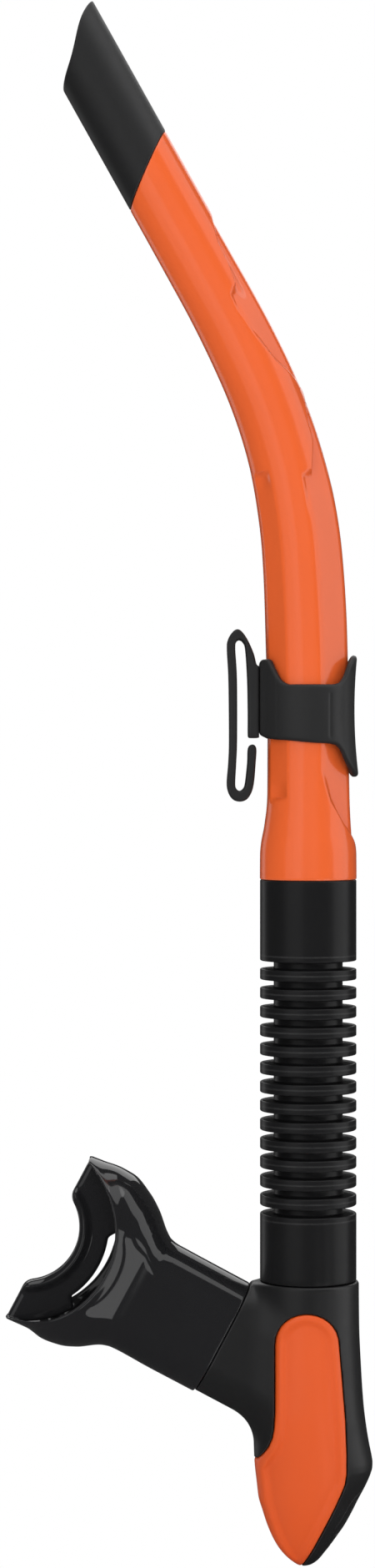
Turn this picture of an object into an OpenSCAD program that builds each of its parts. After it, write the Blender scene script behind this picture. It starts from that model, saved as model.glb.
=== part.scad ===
// Snorkel tube: a curved upper tube with a soft splash tip, a strap keeper with a swivelling hook,
// a corrugated hose, a purge valve housing and a soft mouthpiece.
// Everything is drawn about the hose axis, with z = 0 at the shoulder of the valve housing,
// and then moved so that the origin is the centre of the hook's strap slot.
// +z is up along the hose, -x is towards the mouth, and the object is symmetric about y = 0.

/* [Upper tube] */
// Radius of the collar that meets the hose
collar_r = 14.5; // [14.2:0.1:15]
// Height of the collar
collar_h = 7.5; // [6:0.5:9]
// Straight length of the tube, from the collar's foot to the first bend
straight_len = 46.75; // [44:0.25:50]
// Half width of the tube at the strap keeper
tube_r = 12.6; // [12.2:0.1:12.7]
// Half width of the tube at its top
tube_top_r = 10.45; // [10:0.05:11]
// Radius of the air bore at the top
top_bore_r = 8.6; // [8:0.1:8.8]
// Length of straight tube above the last bend, up to the end of its spigot
top_straight = 56; // [52:1:60]

/* [Splash tip] */
// Height of the black sleeve's foot on the bent side, above the last bend
tip_foot = 40.1; // [38:0.1:42]
// Height of the tip's opening at its middle, above the last bend
tip_top = 83.4; // [78:0.1:88]
// Slope of the foot, as rise over run
foot_slope = 0.74; // [0.6:0.02:0.8]
// Slope of the opening, as rise over run
mouth_slope = 0.95; // [0.8:0.05:1]

/* [Hose] */
// Outer radius of the hose
hose_r = 14.45; // [14:0.05:14.6]
// Height of one rib
rib_h = 3.25; // [3:0.05:3.5]
// Width of the groove between two ribs
groove_w = 2.375; // [2.2:0.025:2.6]
// Outer radius of the hose at the foot of a groove
neck_r = 10.35; // [10.2:0.05:10.5]
// Height of the plain cuff at the hose's lower end
lower_cuff_h = 20.4; // [18:0.1:24]
// Height of the plain cuff at the hose's upper end
upper_cuff_h = 24.35; // [22:0.05:26]

/* [Strap keeper and hook] */
// Height of the keeper band above the housing's shoulder
keeper_z = 161; // [158:0.5:163]
// Height of the keeper band
keeper_h = 17.5; // [15:0.5:18]
// Wall of the keeper band
keeper_wall = 1.55; // [1.3:0.05:1.6]
// Inside height of the hook's strap slot
slot_h = 45.4; // [42:0.2:48]
// Inside width of the hook's strap slot
slot_w = 3.9; // [3.5:0.1:4.2]
// Depth of the hook, front to back
hook_depth = 11; // [9:0.5:13]

/* [Valve housing] */
// Radius of the housing's shoulder under the hose
shoulder_r = 15.2; // [15:0.1:15.6]
// Angle of the mouthpiece arm above horizontal
arm_angle = 28; // [24:1:32]
// Length of the arm's oval section
arm_len = 35.6; // [34:0.1:37]
// Width of the arm's oval section, front to back
arm_w = 22; // [20:0.5:24]
// Thickness of the coloured side cover
cover_t = 1.5; // [1.3:0.1:1.6]
// Radius of the exhaust valve's seat
seat_r = 8; // [7:0.1:8.2]

/* [Mouthpiece] */
// Length of the straight sleeve that grips the arm
sleeve_len = 27; // [24:1:28]
// Distance from the sleeve's foot to the tips of the flange
flange_reach = 62; // [58:1:64]
// Radius of the flange's curve around the teeth
dental_r = 27; // [25:0.5:28]
// Half height of the flange, front to back
flange_half = 14.5; // [13:0.5:16]

/* [Hidden] */
rib_count = 13;
function rib_name(i) = str("hose_rib_", i < 10 ? "0" : "", i);

$fn = 64;
hull_fn = 32;
orange = "#e8632f";
matt_black = "#303030";
gloss_black = "#1c1c1c";
clear_grey = "#9aa4a8";
gap = 0.05;         // running clearance of a turning fit
slip = 0.1;         // gap between two fixed shells
wall = 1.6;         // common wall of the moulded parts
eps = 0.01;

// --- Heights along the hose axis ---------------------------------------------------------------
rib_pitch = rib_h + groove_w;
upper_cuff_z = lower_cuff_h + rib_count * rib_pitch + groove_w;
tube_z = upper_cuff_z + upper_cuff_h;
function rib_z(i) = upper_cuff_z - i * rib_pitch;
bore_r = neck_r - 1.15;
spigot_r = 11.9;
spigot_len = 18;

// --- Centre line of the upper tube --------------------------------------------------------------
// The bends from bottom to top: radius of the centre line and angle turned towards -x.
bends = [[680, 4.2], [166.4, 20.7], [340, 4.3]];
top_angle = bends[0][1] + bends[1][1] + bends[2][1];
function arc_len(b) = b[0] * b[1] * PI / 180;
bends_len = arc_len(bends[0]) + arc_len(bends[1]) + arc_len(bends[2]);
bends_end = straight_len + bends_len;

// One step along a bend of radius r by angle a, from p = [x, z, heading].
function turn(p, r, a) = [
    p[0] + r * (cos(p[2] + a) - cos(p[2])),
    p[1] + r * (sin(p[2] + a) - sin(p[2])),
    p[2] + a];

// Point and heading at distance s above the last straight or bend already passed.
function follow(p, s, i) =
    i == len(bends) ? [p[0] - s * sin(p[2]), p[1] + s * cos(p[2]), p[2]] :
    s <= arc_len(bends[i]) ? turn(p, bends[i][0], s / bends[i][0] * 180 / PI) :
    follow(turn(p, bends[i][0], bends[i][1]), s - arc_len(bends[i]), i + 1);

// Point and heading at distance s from the collar's foot.
function path(s) = s <= straight_len
    ? [0, tube_z + s, 0]
    : follow([0, tube_z + straight_len, 0], s - straight_len, 0);

// Half width in the plane of the bends, and half depth across it, by distance from the foot.
half_width = [
    [0, collar_r], [collar_h, collar_r], [collar_h + 2, collar_r - 0.4], [collar_h + 5, collar_r - 1],
    [collar_h + 9.25, tube_r + 0.5], [collar_h + 18, tube_r], [90, tube_r - 0.15],
    [112, 12.1], [130, 11.45], [156, 11], [bends_end, 10.6], [bends_end + 30, tube_top_r],
    [bends_end + 90, tube_top_r]];
extra_depth = [[0, 0], [collar_h, 0], [collar_h + 18, 0.15], [120, 0.45], [bends_end, 0.2],
    [bends_end + 30, 0]];
// Radius of the moulded bore by distance from the foot; true cylinders take over at both ends.
bore_width = [[0, bore_r - 0.2], [straight_len, 10], [bends_end, top_bore_r - 0.2],
    [bends_end + 90, top_bore_r - 0.2]];

// One oval ring of points around the centre line at distance s.
function ring(s, in_plane, across, n) =
    let (p = path(s))
    [for (i = [0:n - 1]) let (a = 360 * i / n) [
        p[0] + in_plane * cos(a) * cos(p[2]),
        across * sin(a),
        p[1] + in_plane * cos(a) * sin(p[2])]];

// A solid through a list of rings that all have n points.
module loft(rings, n) {
    last = len(rings) - 1;
    sides = [for (k = [0:last - 1]) for (i = [0:n - 1])
        let (j = (i + 1) % n, a = k * n, b = a + n)
        each [[a + i, b + i, b + j], [a + i, b + j, a + j]]];
    caps = [[for (i = [0:n - 1]) i], [for (i = [0:n - 1]) last * n + n - 1 - i]];
    polyhedron([for (r = rings) each r], concat(sides, caps));
}

// Places its children on the tube's centre line at distance s, with z along the tube.
module on_path(s) {
    p = path(s);
    translate([p[0], 0, p[1]]) rotate([0, -p[2], 0]) children();
}

// Places its children on the mouthpiece arm: z towards the mouth, x up the oval, z = 0 at the joint.
arm_at = [-25.75, -16.75];
module on_arm() {
    translate([arm_at[0], 0, arm_at[1]]) rotate([0, arm_angle - 90, 0]) children();
}

// A stadium outline of full length a along x and full width b along y.
module stadium(a, b) {
    square([a - b, b], center = true);
    for (side = [-1, 1]) translate([side * (a - b) / 2, 0]) circle(d = b);
}

// A round-ended bar of width w between two points of the xz plane, as an outline.
module bar(p, q, w) {
    d = q - p;
    for (end = [p, q]) translate(end) circle(d = w);
    translate((p + q) / 2) rotate(atan2(d[1], d[0])) square([norm(d), w], center = true);
}

// Stands an outline drawn in x and z upright, centred on y = 0 with the given depth.
module upright(depth) {
    rotate([90, 0, 0]) linear_extrude(depth, center = true) children();
}

// --- Upper tube and tip ---------------------------------------------------------------------------
ring_points = 32;
bend_step = 7;
tube_foot = [0, collar_h, collar_h + 2, collar_h + 5, collar_h + 9.25, collar_h + 18, straight_len];
tube_stations = concat(tube_foot,
    [for (s = [straight_len + bend_step:bend_step:bends_end + 5]) s],
    [bends_end + tip_foot + 9]);
tip_inner_r = top_bore_r + 0.4;
tip_spigot_r = tube_top_r - 1.35;

// Everything on one side of a slanted plane across the last straight: side is 1 above it, -1 below.
module slant_side(height, slope, side) {
    reach = 16;
    far = side * 60;
    on_path(bends_end) upright(4 * reach)
        polygon([[-reach, height - slope * reach], [reach, height + slope * reach],
                 [reach, height + slope * reach + far], [-reach, height - slope * reach + far]]);
}

module upper_tube() color(orange) {
    difference() {
        union() {
            difference() {
                loft([for (s = tube_stations)
                    let (w = lookup(s, half_width), d = w + lookup(s, extra_depth))
                    ring(s, w, d, ring_points)], ring_points);
                slant_side(tip_foot, foot_slope, 1);
            }
            on_path(bends_end + 4) cylinder(r = tip_spigot_r, h = top_straight - 4);
            translate([0, 0, tube_z - spigot_len]) cylinder(r = spigot_r, h = spigot_len + 3);
        }
        loft([for (s = concat([1], [for (s = [straight_len:bend_step:bends_end + 6]) s]))
            let (r = lookup(s, bore_width)) ring(s, r, r, ring_points)], ring_points);
        translate([0, 0, tube_z - spigot_len - 1]) cylinder(r = bore_r, h = spigot_len + 4);
        on_path(bends_end) cylinder(r = top_bore_r, h = top_straight + 1);
    }
}

module splash_tip() color(matt_black) {
    difference() {
        on_path(bends_end) cylinder(r = tube_top_r, h = tip_top + 12);
        slant_side(tip_foot + slip, foot_slope, -1);
        slant_side(tip_top, mouth_slope, 1);
        on_path(bends_end) cylinder(r = tip_spigot_r + gap, h = top_straight + slip);
        on_path(bends_end) cylinder(r = tip_inner_r, h = tip_top + 20);
    }
}

// --- Strap keeper, its pin and the hook -----------------------------------------------------------
keeper_bore_r = 13.05;
keeper_out_r = keeper_bore_r + keeper_wall;
boss_x = -keeper_out_r - gap;
pin_z = keeper_z + 10.5;
pin_r = 1.6;
pin_head_r = 2.5;
hook_x = boss_x - 0.1;                  // the hook's face towards the keeper
hook_plate_t = 3.35;
slot_x = hook_x - hook_plate_t - slot_w / 2;
slot_z = keeper_z - 14.5 + slot_h / 2;

module keeper_band() color(matt_black) {
    ear_top = [[7, keeper_z + keeper_h], [11.5, keeper_z + keeper_h + 3.2],
               [13.3, keeper_z + keeper_h + 8.8], [20, keeper_z + keeper_h + 8.8]];
    ear_foot = [[20, keeper_z - 10], [13.3, keeper_z - 10], [11.5, keeper_z - 3.5], [7, keeper_z]];
    boss_top = [[-20, keeper_z + keeper_h + 7], [-13, keeper_z + keeper_h + 7],
                [-11.4, keeper_z + keeper_h + 3], [-7.6, keeper_z + keeper_h]];
    boss_w = 12;
    difference() {
        union() {
            translate([0, 0, keeper_z]) cylinder(r = keeper_out_r, h = keeper_h);
            intersection() {
                translate([0, 0, keeper_z - 12]) cylinder(r = keeper_out_r, h = keeper_h + 24);
                upright(2 * keeper_out_r)
                    polygon(concat(ear_top, ear_foot, [[-7.6, keeper_z], [-20, keeper_z]], boss_top));
            }
            translate([boss_x, -boss_w / 2, keeper_z + 1.5])
                cube([4, boss_w, keeper_h + 3]);
        }
        translate([0, 0, keeper_z - 20]) cylinder(r = keeper_bore_r, h = keeper_h + 40);
        translate([boss_x - 1, 0, pin_z]) rotate([0, 90, 0]) cylinder(r = pin_r, h = 4);
    }
}

module keeper_pivot_pin() color(matt_black) {
    shank = hook_plate_t - 1.5;
    translate([-keeper_bore_r - 0.2, 0, pin_z]) rotate([0, -90, 0])
        cylinder(r = pin_r, h = keeper_out_r - keeper_bore_r + 0.1 + shank);
    translate([hook_x - shank, 0, pin_z]) rotate([0, -90, 0])
        cylinder(r = pin_head_r, h = 1.2);
}

module strap_hook() color(matt_black) {
    arm_t = 2.3;
    outer_x = slot_x - slot_w / 2 - arm_t / 2;
    inner_x = hook_x - hook_plate_t / 2;
    top = slot_z + slot_h / 2;
    foot = slot_z - slot_h / 2;
    plate_foot = keeper_z + 1.5;
    leg_x = hook_x - 2.2;
    loop_x = (outer_x + inner_x) / 2;
    loop_r = (inner_x - outer_x) / 2;
    difference() {
        upright(hook_depth) difference() {
            union() {
                bar([outer_x, foot + 1.5], [outer_x, top - 1.5], arm_t);
                bar([loop_x, top - 1.5], [loop_x, foot + 1.5], 2 * loop_r + arm_t);
                translate([hook_x - hook_plate_t, plate_foot]) square([hook_plate_t, top - plate_foot - 4]);
                bar([leg_x, foot], [leg_x, plate_foot - 3], arm_t);
            }
            bar([slot_x, foot + slot_w / 2], [slot_x, top - slot_w / 2], slot_w);
            translate([slot_x, foot + 10]) square([8, 5.2]);
            translate([slot_x + slot_w / 2, foot + 1]) square([0.2, plate_foot - foot]);
            translate([leg_x + arm_t / 2, foot + 2]) square([3, plate_foot - foot - 2]);
            translate([slot_x, plate_foot - 1.9]) square([8, 1.9]);
        }
        translate([hook_x + 1, 0, pin_z]) rotate([0, -90, 0]) cylinder(r = pin_r + gap, h = 6);
        translate([hook_x - hook_plate_t + 1.5, 0, pin_z]) rotate([0, -90, 0])
            cylinder(r = pin_head_r + gap, h = 3);
    }
}

// --- Hose -------------------------------------------------------------------------------------------
socket_r = neck_r + 0.6;
socket_depth = 2.1;
neck_h = groove_w + 0.8;

// A ring of revolution about the hose axis, from z to z + h.
module tube_ring(z, h, outer, inner) {
    translate([0, 0, z]) difference() {
        cylinder(r = outer, h = h);
        translate([0, 0, -1]) cylinder(r = inner, h = h + 2);
    }
}

// The thin neck that stands on a rib or cuff and enters the socket of the one above.
module hose_neck(z) {
    tube_ring(z - eps, neck_h + eps, neck_r, bore_r);
}

module hose_rib(i) color(matt_black) {
    z = rib_z(i);
    tube_ring(z, socket_depth, hose_r, socket_r);
    tube_ring(z + socket_depth - eps, rib_h - socket_depth + eps, hose_r, bore_r);
    hose_neck(z + rib_h);
}

module hose_upper_cuff() color(matt_black) {
    fit_h = spigot_len + slip;
    tube_ring(upper_cuff_z, socket_depth, hose_r, socket_r);
    tube_ring(upper_cuff_z + socket_depth - eps, upper_cuff_h - fit_h - socket_depth + eps, hose_r, bore_r);
    tube_ring(tube_z - fit_h - eps, fit_h + eps - slip, hose_r, spigot_r + gap);
}

module hose_lower_cuff() color(matt_black) {
    fit_h = 14 + slip;
    tube_ring(slip, fit_h, hose_r, spigot_r + gap);
    tube_ring(slip + fit_h - eps, lower_cuff_h - fit_h - slip + eps, hose_r, bore_r);
    hose_neck(lower_cuff_h);
}

// --- Valve housing and what it holds ----------------------------------------------------------------
// Horizontal sections of the pod: height, centre x, half width, half depth.
pod_top = [[-2, 0, shoulder_r - 0.3, shoulder_r - 0.3], [-13, 0, shoulder_r + 0.1, shoulder_r],
           [-37, 0.4, 16.3, 15]];
pod_foot = [[-37, 0.4, 16.3, 15], [-53, 1.5, 17.7, 13.6], [-57, 1.2, 17.2, 13.2],
            [-65, 0.2, 15.1, 11.8], [-77, -1.2, 9.5, 8.2], [-83, -1.5, 4.4, 4.6], [-85.5, -1.5, 1, 1.4]];

module pod_stack(sections, inset) {
    function lift(z) = z < -80 ? inset * 1.5 : z > -10 ? -inset : 0;
    hull() for (s = sections)
        translate([s[1], 0, s[0] + lift(s[0])])
            scale([max(s[2] - inset, 0.3), max(s[3] - inset, 0.3), 1])
                cylinder(r = 1, h = eps, $fn = hull_fn);
}

// The pod's envelope, pulled in by inset on every side.
module pod(inset) {
    pod_stack(pod_top, inset);
    pod_stack(pod_foot, inset);
}

// The side cover's outline: a round top, straight sides and a foot that runs out to the keel.
module cover_outline(margin) {
    top_r = 9.5;
    top_at = [-0.8, -17.4];
    r = top_r + margin;
    round_top = [for (a = [180:-10:0]) top_at + r * [cos(a), sin(a)]];
    right_side = [[9.8, -30], [11, -50], [11, -56], [9.4, -62], [5.6, -70.2], [1, -79.5], [-2.6, -86]];
    polygon(concat(round_top, [for (p = right_side) p + [margin, 0]],
        [[-22, -92], [-22, -53.4 + margin], [-16.2, -53.2 + margin], [-13.6, -50.6 + margin],
         [-11 - margin, -46.2], [-10.3 - margin, -40]]));
}

// The exhaust port in the pod's slanted lower face: z points out of the port.
port_at = [10.3, -69.4];
port_angle = 120.5;
module on_port() {
    translate([port_at[0], 0, port_at[1]]) rotate([0, port_angle, 0]) children();
}
port_len = 20;
port_w = 13;
seat_depth = 7.5;                       // depth of the seat's inner face below the outside
seat_t = 2.2;
flap_t = 0.7;

module valve_housing() color(matt_black) {
    difference() {
        union() {
            difference() {
                union() {
                    pod(0);
                    translate([0, 0, -4]) cylinder(r = shoulder_r, h = 3.4);
                    translate([0, 0, -0.6]) cylinder(r1 = shoulder_r, r2 = shoulder_r - 0.6, h = 0.6);
                    on_arm() translate([0, 0, -20]) linear_extrude(20) stadium(arm_len, arm_w);
                }
                difference() {
                    upright(60) cover_outline(slip);
                    pod(cover_t + slip);
                }
            }
            on_arm() translate([0, 0, -8]) linear_extrude(20) stadium(arm_len - 4.5, arm_w - 4.5);
            translate([0, 0, -4]) cylinder(r = spigot_r, h = 18);
        }
        difference() {
            pod(cover_t + wall);
            on_port() translate([0, 0, -seat_depth - 1]) cylinder(r = seat_r + wall, h = 12);
        }
        translate([0, 0, -30]) cylinder(r = bore_r + 0.6, h = 60);
        on_arm() translate([0, 0, -22]) linear_extrude(60) stadium(arm_len - 7.7, arm_w - 7.7);
        on_port() translate([0, 0, -seat_depth - 2]) cylinder(r = seat_r + gap, h = seat_depth);
        on_port() translate([0, 0, -3]) linear_extrude(10) stadium(port_len + slip, port_w + slip);
    }
}

module side_cover() color(orange) {
    intersection() {
        difference() {
            pod(0);
            pod(cover_t);
        }
        upright(60) cover_outline(0);
    }
}

module vent_grille() color(matt_black) {
    slot_len = 13;
    difference() {
        intersection() {
            difference() {
                pod(0);
                pod(cover_t + 0.3);
            }
            on_port() translate([0, 0, -10]) linear_extrude(20) stadium(port_len, port_w);
        }
        for (y = [-3.6, -1.2, 1.2, 3.6])
            on_port() translate([0, y, -10]) linear_extrude(20) stadium(slot_len, 1.3);
    }
}

module valve_seat() color(matt_black) {
    hub_r = 2.6;
    stem_hole_r = 1.3;
    on_port() translate([0, 0, -seat_depth]) {
        difference() {
            union() {
                difference() {
                    cylinder(r = seat_r, h = seat_t);
                    translate([0, 0, -1]) cylinder(r = seat_r - 1.8, h = seat_t + 2);
                }
                cylinder(r = hub_r, h = seat_t);
                for (a = [0, 60, 120])
                    rotate(a) translate([-seat_r + 1, -0.5, 0]) cube([2 * seat_r - 2, 1, seat_t]);
            }
            translate([0, 0, -1]) cylinder(r = stem_hole_r, h = seat_t + 2);
        }
    }
}

module exhaust_valve() color(clear_grey) {
    flap_r = seat_r - 0.8;
    stem_r = 1.25;
    foot_r = 1.9;
    lift = 1.5;
    on_port() translate([0, 0, -seat_depth]) {
        translate([0, 0, seat_t + 0.02]) cylinder(r = flap_r, h = flap_t);
        translate([0, 0, -lift - 0.6]) cylinder(r = stem_r, h = seat_t + lift + 0.8);
        translate([0, 0, -lift - 1.3]) cylinder(r = foot_r, h = 1.2);
    }
}

// --- Mouthpiece -------------------------------------------------------------------------------------
// Sections along the arm: distance from the joint, centre, length and width of the stadium.
flare = [[sleeve_len, 0.2, arm_len + 0.4, arm_w + 0.4], [38, 1.8, 49, 26],
         [47, 2.4, 56, 2 * flange_half], [flange_reach, 1.8, 53, 2 * flange_half - 8]];
dental_at = [flange_reach + 5.5, 1.5];

module flare_body(inset) {
    hull() for (s = flare)
        translate([s[1], 0, s[0]]) linear_extrude(eps)
            stadium(s[2] - 2 * inset, s[3] - 2 * inset, $fn = hull_fn);
}

// A cylinder across the mouthpiece that gives the flange its curve around the teeth.
module dental_cut(r, depth) {
    translate([dental_at[1], 0, dental_at[0]]) rotate([90, 0, 0]) cylinder(r = r, h = depth, center = true);
}

module mouthpiece() color(gloss_black) {
    soft_wall = 2.4;
    bite_t = 4.5;
    bite_at = [flange_reach, 1];
    bite_r = 10.4;
    on_arm() {
        difference() {
            union() {
                translate([0, 0, slip]) linear_extrude(sleeve_len) stadium(arm_len + 0.4, arm_w + 0.4);
                flare_body(0);
            }
            linear_extrude(60, center = true) stadium(arm_len - 4.4, arm_w - 4.4);
            flare_body(soft_wall);
            dental_cut(dental_r, 80);
            translate([0, 0, flange_reach - 1.5]) linear_extrude(5) square(90, center = true);
        }
        difference() {
            intersection() {
                dental_cut(dental_r + 1.2, bite_t);
                translate([-50, -10, 0]) cube([100, 20, flange_reach - 2]);
                flare_body(0.5);
            }
            translate([bite_at[1], 0, bite_at[0]]) rotate([90, 0, 0])
                cylinder(r = bite_r, h = 20, center = true);
        }
    }
}

module in_part_frame() {
    translate([-slot_x, 0, -slot_z]) children();
}

in_part_frame() splash_tip();
in_part_frame() upper_tube();
in_part_frame() keeper_band();
in_part_frame() keeper_pivot_pin();
in_part_frame() strap_hook();
in_part_frame() hose_upper_cuff();
for (i = [1:rib_count])
    in_part_frame() hose_rib(i);
in_part_frame() hose_lower_cuff();
in_part_frame() valve_housing();
in_part_frame() side_cover();
in_part_frame() vent_grille();
in_part_frame() valve_seat();
in_part_frame() exhaust_valve();
in_part_frame() mouthpiece();
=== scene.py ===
"""A snorkel tube: orange upper tube, soft black tip, strap keeper and hook, ribbed hose,
valve housing and mouthpiece.

Shapes are worked out in millimetres about the hose axis. z = 0 is at the housing's shoulder, +z runs
up the hose and -x towards the mouth. add_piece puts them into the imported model's frame, in metres.
"""

import math

import bpy
import numpy as np
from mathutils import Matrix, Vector


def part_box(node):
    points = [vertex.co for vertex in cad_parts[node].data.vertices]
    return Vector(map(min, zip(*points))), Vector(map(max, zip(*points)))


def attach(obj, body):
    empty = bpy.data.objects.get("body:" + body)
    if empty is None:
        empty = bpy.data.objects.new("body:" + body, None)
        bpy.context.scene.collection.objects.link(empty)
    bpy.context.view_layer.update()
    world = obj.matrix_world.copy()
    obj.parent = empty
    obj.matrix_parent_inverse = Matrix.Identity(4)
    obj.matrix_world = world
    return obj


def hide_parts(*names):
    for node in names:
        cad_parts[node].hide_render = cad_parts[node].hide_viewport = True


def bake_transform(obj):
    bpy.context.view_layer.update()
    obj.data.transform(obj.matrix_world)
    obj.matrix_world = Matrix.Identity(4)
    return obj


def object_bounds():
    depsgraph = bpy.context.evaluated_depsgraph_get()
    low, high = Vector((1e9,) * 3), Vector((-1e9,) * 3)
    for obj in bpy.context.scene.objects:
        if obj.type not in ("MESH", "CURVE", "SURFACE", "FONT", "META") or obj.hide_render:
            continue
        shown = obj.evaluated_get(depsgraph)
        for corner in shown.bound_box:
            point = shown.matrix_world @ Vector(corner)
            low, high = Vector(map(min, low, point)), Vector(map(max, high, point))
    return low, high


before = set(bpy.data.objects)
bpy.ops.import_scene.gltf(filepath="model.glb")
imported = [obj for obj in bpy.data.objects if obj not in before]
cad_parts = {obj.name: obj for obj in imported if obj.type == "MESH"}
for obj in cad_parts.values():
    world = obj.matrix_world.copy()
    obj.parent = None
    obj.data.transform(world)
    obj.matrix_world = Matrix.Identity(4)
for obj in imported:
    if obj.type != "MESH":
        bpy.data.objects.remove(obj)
cad_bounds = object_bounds()

# --- The frame, in millimetres about the hose axis --------------------------------------------------
MM = 0.001
SLIP = 0.1  # the CAD's gap between two fixed shells
GAP = 0.05  # the CAD's running clearance of a turning fit
cuff_low, cuff_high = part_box("hose_lower_cuff")
AXIS = np.array([(cuff_low.x + cuff_high.x) / 2, 0.0, cuff_low.z - SLIP * MM])


def cad_box(node):
    """Lowest and highest corner of a CAD node, in millimetres about the hose axis."""
    low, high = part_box(node)
    return (np.array(low) - AXIS) / MM, (np.array(high) - AXIS) / MM


RIBS = sorted(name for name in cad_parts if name.startswith("hose_rib_"))
rib_low, rib_high = cad_box(RIBS[0])
HOSE_R = (rib_high[0] - rib_low[0]) / 2
RIB_PITCH = rib_low[2] - cad_box(RIBS[1])[0][2]
TUBE_Z = cad_box("hose_upper_cuff")[1][2] + SLIP
UPPER_CUFF_Z = cad_box("hose_upper_cuff")[0][2]
HOOK_HIGH = cad_box("strap_hook")[1]

# --- Small tools ------------------------------------------------------------------------------------


def curve(*knots):
    """A smooth function through (place, value) knots that never overshoots them."""
    place, value = np.array(knots, float).T
    step = np.diff(place)
    slope = np.diff(value) / step
    tangent = np.zeros_like(value)
    before, after = slope[:-1], slope[1:]
    rising = before * after > 0
    weight_a = 2 * step[1:] + step[:-1]
    weight_b = step[1:] + 2 * step[:-1]
    inner = np.zeros_like(before)
    inner[rising] = (weight_a + weight_b)[rising] / (
        weight_a[rising] / before[rising] + weight_b[rising] / after[rising])
    tangent[1:-1] = inner

    def at(t):
        t = np.clip(t, place[0], place[-1])
        i = np.clip(np.searchsorted(place, t) - 1, 0, len(step) - 1)
        u = (t - place[i]) / step[i]
        hermite = (2 * u**3 - 3 * u**2 + 1) * value[i] + (3 * u**2 - 2 * u**3) * value[i + 1]
        return hermite + step[i] * ((u**3 - 2 * u**2 + u) * tangent[i] + (u**3 - u**2) * tangent[i + 1])

    return at


def smoothstep(t):
    """Rises smoothly from 0 to 1 as t goes from 0 to 1."""
    t = np.clip(t, 0, 1)
    return t * t * (3 - 2 * t)


def bell(t, place, spread):
    """A bell of height 1 at a place."""
    return np.exp(-(((t - place) / spread) ** 2))


def smooth_min(a, b, k):
    """The lower of two fields, with their crossing rounded over a width of k."""
    h = np.maximum(k - np.abs(a - b), 0) / k
    return np.minimum(a, b) - h * h * k / 4


def smooth_max(a, b, k):
    """The higher of two fields, with their crossing rounded over a width of k."""
    return -smooth_min(-a, -b, k)


def outline_distance(points, x, z):
    """Signed distance in the xz plane to a closed outline, negative inside."""
    x, z = np.broadcast_arrays(x, z)
    nearest = np.full(x.shape, np.inf)
    inside = np.zeros(x.shape, bool)
    for (ax, az), (bx, bz) in zip(points, np.roll(points, -1, axis=0)):
        ex, ez = bx - ax, bz - az
        along = np.clip(((x - ax) * ex + (z - az) * ez) / (ex * ex + ez * ez), 0, 1)
        nearest = np.minimum(nearest, (x - ax - along * ex) ** 2 + (z - az - along * ez) ** 2)
        if ez != 0:
            inside ^= ((az > z) != (bz > z)) & (x < ax + ex * (z - az) / ez)
    return np.where(inside, -1, 1) * np.sqrt(nearest)


def closed_spline(points, steps=5):
    """A smooth closed outline through the points."""
    points = np.array(points, float)
    before, after, beyond = (np.roll(points, shift, axis=0) for shift in (1, -1, -2))
    t = (np.arange(steps) / steps)[None, :, None]
    p0, p1, p2, p3 = (p[:, None, :] for p in (before, points, after, beyond))
    square = (2 * p0 - 5 * p1 + 4 * p2 - p3) * t**2
    cube = (3 * p1 - p0 - 3 * p2 + p3) * t**3
    bend = 2 * p1 + (p2 - p0) * t + square + cube
    return (bend / 2).reshape(-1, 2)


def slab(distance, y, half_depth, rounding):
    """An outline's distance field given a depth in y, with its long edges rounded."""
    across = np.abs(y) - half_depth + rounding
    inward = distance + rounding
    outside = np.hypot(np.maximum(inward, 0), np.maximum(across, 0))
    return outside + np.minimum(np.maximum(inward, across), 0) - rounding


def stadium(v, y, length, width):
    """Signed distance to a stadium of the given full length along v and width along y."""
    return np.hypot(np.maximum(np.abs(v) - (length - width) / 2, 0), y) - width / 2


def gradient(field, points, step):
    """Slope of a field at each point, along x, y and z."""
    slopes = []
    for axis in range(3):
        shift = np.zeros(3)
        shift[axis] = step
        slopes.append((field(*(points + shift).T) - field(*(points - shift).T)) / (2 * step))
    return np.stack(slopes, axis=1)


def polygonise(field, low, high, cell):
    """Points, quads and normals of the surface where a field is zero, by surface nets."""
    axes = [np.arange(a, b + cell, cell) for a, b in zip(low, high)]
    x, y, z = np.meshgrid(*axes, indexing="ij", sparse=True)
    values = np.broadcast_to(field(x, y, z), [len(a) for a in axes])
    inside = values < 0
    cells = np.array(values.shape) - 1
    count = np.zeros(cells.prod())
    total = np.zeros((3, cells.prod()))
    crossings = []
    for axis in range(3):
        first, second = [slice(None)] * 3, [slice(None)] * 3
        first[axis] = slice(None, -1)
        second[axis] = slice(1, None)
        first, second = tuple(first), tuple(second)
        crossing = inside[first] != inside[second]
        at = np.argwhere(crossing)
        a, b = values[first][crossing], values[second][crossing]
        place = at.astype(float)
        place[:, axis] += a / (a - b)
        side_a, side_b = (k for k in range(3) if k != axis)
        around = []
        for back_a, back_b in ((0, 0), (1, 0), (1, 1), (0, 1)):
            corner = at.copy()
            corner[:, side_a] -= back_a
            corner[:, side_b] -= back_b
            index = np.ravel_multi_index(corner.T, cells)
            around.append(index)
            count += np.bincount(index, minlength=count.size)
            for k in range(3):
                total[k] += np.bincount(index, weights=place[:, k], minlength=count.size)
        quads = np.stack(around, axis=1)
        turned = inside[first][crossing] == (axis == 1)
        quads[turned] = quads[turned][:, ::-1]
        crossings.append(quads)
    used = count > 0
    number = np.cumsum(used) - 1
    points = (total[:, used] / count[used]).T * cell + np.array([a[0] for a in axes])
    pull_limit = 0.45 * cell
    pull_rounds = 2
    flattest = 0.1
    for _ in range(pull_rounds):
        slope = gradient(field, points, cell / 4)
        pull = (field(*points.T) / np.maximum((slope**2).sum(1), flattest))[:, None] * slope
        length = np.linalg.norm(pull, axis=1, keepdims=True)
        points = points - pull * np.minimum(1, pull_limit / np.maximum(length, 1e-9))
    normals = gradient(field, points, cell / 3)
    normals /= np.maximum(np.linalg.norm(normals, axis=1, keepdims=True), 1e-9)
    return points, number[np.concatenate(crossings)], normals


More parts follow.
